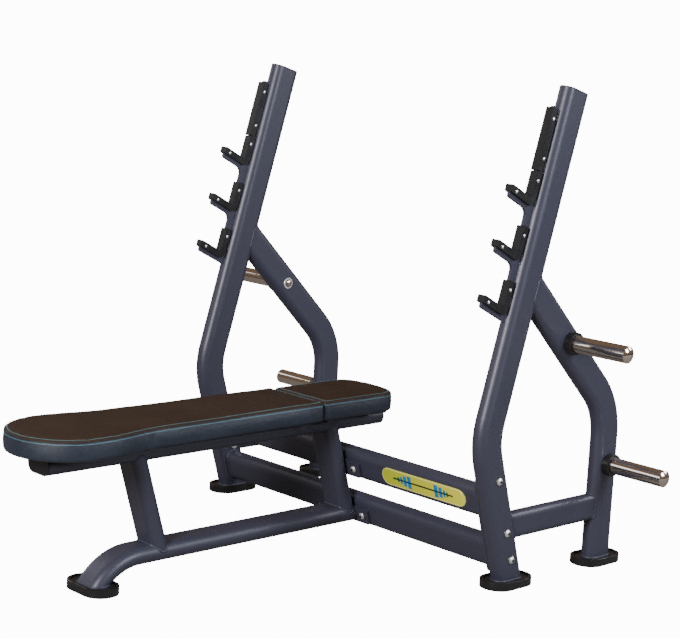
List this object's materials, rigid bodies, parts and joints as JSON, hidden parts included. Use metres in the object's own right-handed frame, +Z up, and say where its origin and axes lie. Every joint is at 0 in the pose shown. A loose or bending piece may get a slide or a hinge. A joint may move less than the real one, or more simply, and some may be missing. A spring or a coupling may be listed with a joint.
{
  "type": "olympic bench press",
  "caption": "Flat bench press with two leaning side frames, stepped bar hooks, plate storage horns and a padded bench on a single rail.",
  "frame": {"origin": "on the floor, under the middle of the machine's overall length and width", "axes": "+Z up, +X to the right, the foot end of the bench towards -Y and the rear legs towards +Y"},
  "size_m": [1.668, 1.713, 1.3892],
  "materials": {
    "frame_paint": "fine textured powder coat, satin",
    "black_plastic": "matte",
    "black_rubber": "matte",
    "horn_chrome": "polished",
    "bolt_steel": "satin",
    "badge_face": "gloss",
    "plywood": "raw",
    "pad_cover": "grained vinyl leather, satin"
  },
  "bodies": {
    "root": {"badge": "badge_face", "beam_caps": "black_plastic", "bench_beam": "frame_paint", "bench_foot": "black_rubber", "bench_foot_plate": "frame_paint", "bench_rail": "frame_paint", "brace_tube_left": "frame_paint", "brace_tube_right": "frame_paint", "end_plate_left": "frame_paint", "end_plate_right": "frame_paint", "flange_bolts": "bolt_steel", "foot_screws": "bolt_steel", "frame_nuts": "bolt_steel", "front_foot_left": "black_rubber", "front_foot_plate_left": "frame_paint", "front_foot_plate_right": "frame_paint", "front_foot_right": "black_rubber", "front_post": "frame_paint", "guard_strip_left": "black_plastic", "guard_strip_right": "black_plastic", "head_pad_board": "plywood", "head_pad_cushion": "pad_cover", "hook_liner_low_left": "black_plastic", "hook_liner_low_right": "black_plastic", "hook_liner_mid_left": "black_plastic", "hook_liner_mid_right": "black_plastic", "hook_liner_top_left": "black_plastic", "hook_liner_top_right": "black_plastic", "hook_plate_left": "frame_paint", "hook_plate_right": "frame_paint", "horn_bolts": "horn_chrome", "horn_collars_left": "black_rubber", "horn_collars_right": "black_rubber", "leg_bolts": "bolt_steel", "liner_screws": "bolt_steel", "lower_crossbar": "frame_paint", "lower_flange": "frame_paint", "lower_horn_left": "horn_chrome", "lower_horn_right": "horn_chrome", "main_pad_board": "plywood", "main_pad_cushion": "pad_cover", "pad_bolts": "bolt_steel", "pad_brackets": "frame_paint", "rear_foot_left": "black_rubber", "rear_foot_plate_left": "frame_paint", "rear_foot_plate_right": "frame_paint", "rear_foot_right": "black_rubber", "rear_post": "frame_paint", "side_bar_left": "frame_paint", "side_bar_right": "frame_paint", "tee_nuts": "bolt_steel", "top_caps": "black_plastic", "upper_crossbar": "frame_paint", "upper_flange": "frame_paint", "upper_horn_left": "horn_chrome", "upper_horn_right": "horn_chrome", "upright_tube_left": "frame_paint", "upright_tube_right": "frame_paint"}
  },
  "joints": []
}
